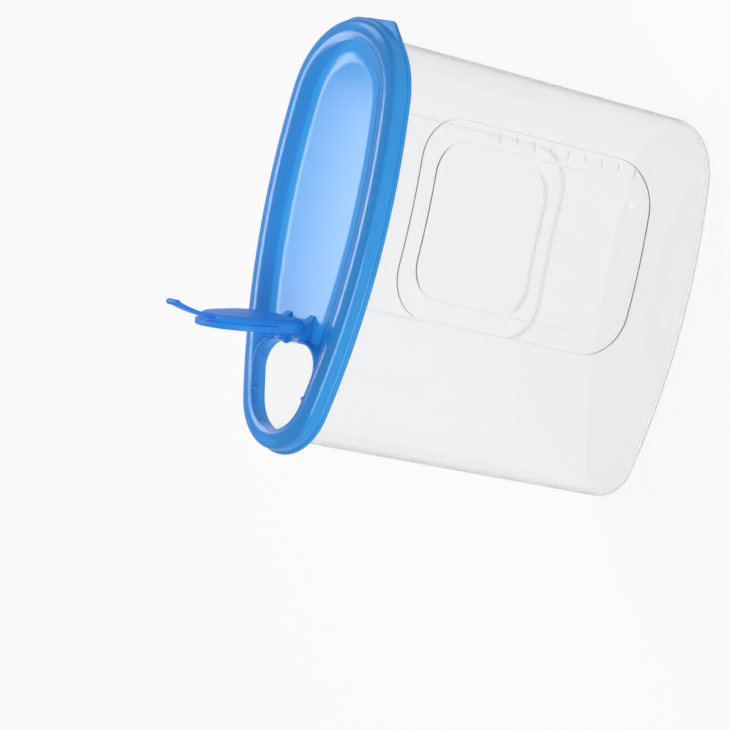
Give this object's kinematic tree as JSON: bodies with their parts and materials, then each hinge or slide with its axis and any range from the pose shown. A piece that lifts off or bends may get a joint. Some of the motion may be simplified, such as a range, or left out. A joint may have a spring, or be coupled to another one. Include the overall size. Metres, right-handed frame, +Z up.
{
  "type": "cereal container",
  "caption": "Tall oval see-through food container with a dished press-on lid and a hinged flip spout cap over a D-shaped pouring mouth.",
  "frame": {"origin": "centre of the base, on the surface that the container stands on", "axes": "+X from the spout end to the lift tab, +Y across the short way, +Z up"},
  "size_m": [0.24, 0.1054, 0.318],
  "materials": {
    "clear_plastic": "frosted, see-through",
    "blue_lid": "smooth, slightly see-through",
    "blue_cap": "smooth, slightly see-through"
  },
  "bodies": {
    "container": {"container": "clear_plastic"},
    "lid": {"lid": "blue_lid"},
    "spout_cap": {"spout_cap": "blue_cap"}
  },
  "joints": [
    {"name": "lid_lift", "type": "slide", "parent": "container", "child": "lid", "axis": [0, 0, 1], "range_m": [0, 0.05]},
    {"name": "cap_flip", "type": "hinge", "parent": "lid", "child": "spout_cap", "pos_m": [-0.0535, 0, 0.2373], "axis": [0, 1, 0], "range_deg": [-81, 50]}
  ]
}
